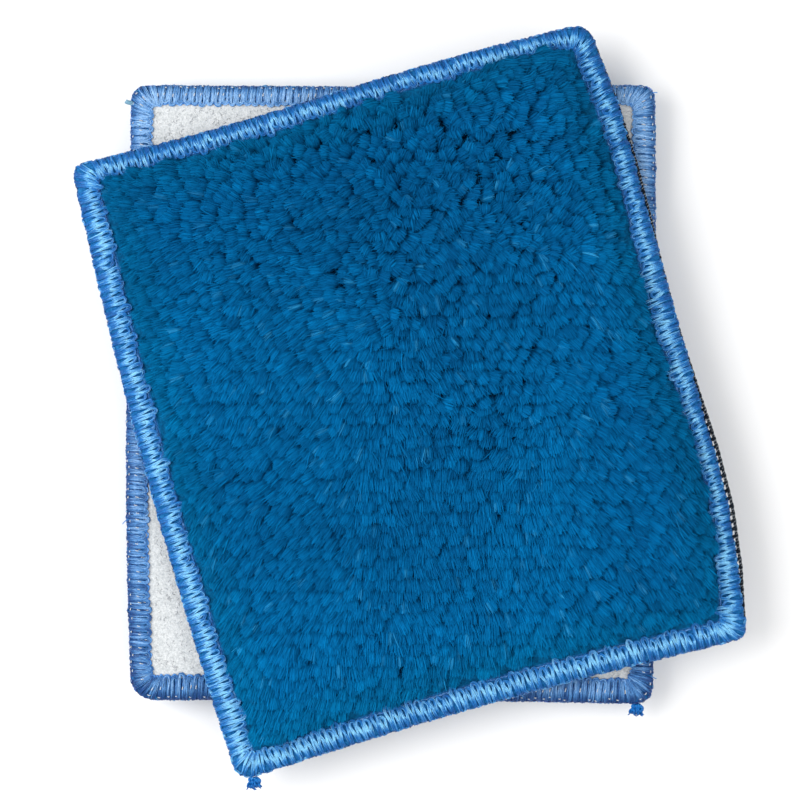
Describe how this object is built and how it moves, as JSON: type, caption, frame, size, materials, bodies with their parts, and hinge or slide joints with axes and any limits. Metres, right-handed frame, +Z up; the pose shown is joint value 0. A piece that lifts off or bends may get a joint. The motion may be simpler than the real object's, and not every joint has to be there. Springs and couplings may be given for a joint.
{
  "type": "magnetic glass cleaner pad set",
  "caption": "Rectangular plush cleaning pads for a magnetic glass cleaner, oversewn round the edge and backed with loop fabric, one lying turned on the other.",
  "frame": {"origin": "middle of the rear pad's plush face, where it rests on the table", "axes": "+Z up from the table through both pads, +Y along the rear pad's long side, +X along its short side"},
  "size_m": [0.1774, 0.2025, 0.0219],
  "materials": {
    "plush_pile": "soft blue cut-pile plush in small tufts, matt with a slight sheen on the tips",
    "plush_ground_knit": "blue knitted ground that holds the pile, matt",
    "foam_core": "white open-cell foam laminated to the loop fabric, matt",
    "loop_backing": "white brushed loop fabric with a mottled felt-like nap, matt",
    "needle_thread": "light blue continuous-filament sewing thread, glossy",
    "upper_looper_thread": "light blue continuous-filament sewing thread, glossy",
    "lower_looper_thread": "light blue continuous-filament sewing thread, glossy",
    "thread_tail": "short chain of light blue sewing thread, glossy"
  },
  "bodies": {
    "rear_pad": {"rear_pile": "plush_pile", "rear_ground_knit": "plush_ground_knit", "rear_foam_core": "foam_core", "rear_loop_backing": "loop_backing", "rear_needle_thread": "needle_thread", "rear_upper_looper_thread": "upper_looper_thread", "rear_lower_looper_thread": "lower_looper_thread"},
    "front_pad": {"front_pile": "plush_pile", "front_ground_knit": "plush_ground_knit", "front_foam_core": "foam_core", "front_loop_backing": "loop_backing", "front_needle_thread": "needle_thread", "front_upper_looper_thread": "upper_looper_thread", "front_lower_looper_thread": "lower_looper_thread"},
    "rear_tail": {"rear_thread_tail": "thread_tail"},
    "front_tail": {"front_thread_tail": "thread_tail"}
  },
  "joints": [
    {"name": "front_pad_lift", "type": "slide", "parent": "rear_pad", "child": "front_pad", "axis": [0, 0, 1], "range_m": [0, 0.08]},
    {"name": "rear_tail_swing", "type": "hinge", "parent": "rear_pad", "child": "rear_tail", "pos_m": [0.0654, -0.0847, 0.0081], "axis": [0, 0, 1], "range_deg": [-60, 60]},
    {"name": "front_tail_swing", "type": "hinge", "parent": "front_pad", "child": "front_tail", "pos_m": [-0.03626, -0.10326, 0.0138], "axis": [0, 0, 1], "range_deg": [-60, 60]}
  ]
}
